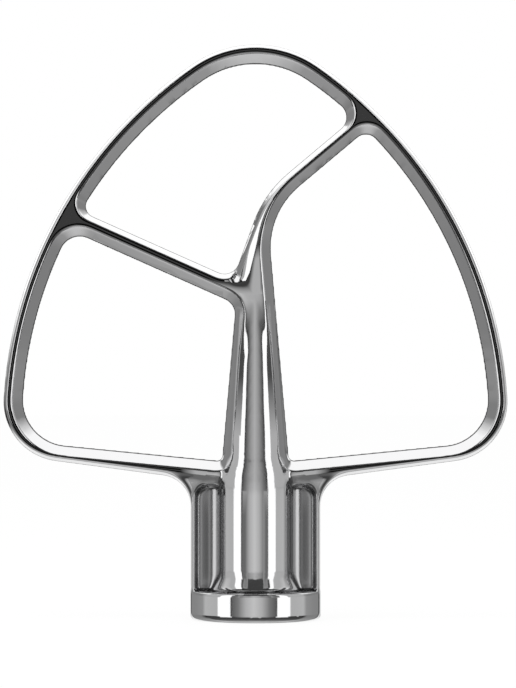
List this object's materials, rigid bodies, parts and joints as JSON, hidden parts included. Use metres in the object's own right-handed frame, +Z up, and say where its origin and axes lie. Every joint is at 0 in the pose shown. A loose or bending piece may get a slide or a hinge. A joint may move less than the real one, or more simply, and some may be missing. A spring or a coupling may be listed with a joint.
{
  "type": "stand mixer flat beater",
  "caption": "One-piece polished flat beater: a rounded triangular frame with a slanted crossbar and a curved bar, on a tapered stem, hub and collar with a blind shaft bore.",
  "frame": {"origin": "centre of the collar's bottom face, on the axis of the shaft bore", "axes": "+X across the frame to the side of the curved bar, +Y from the front face to the back face, +Z up from the collar to the crown"},
  "size_m": [0.135, 0.035, 0.154],
  "materials": {
    "polished_steel": "polished stainless steel casting, mirror-like with faint polishing marks"
  },
  "bodies": {
    "root": {"flat_beater": "polished_steel"}
  },
  "joints": []
}
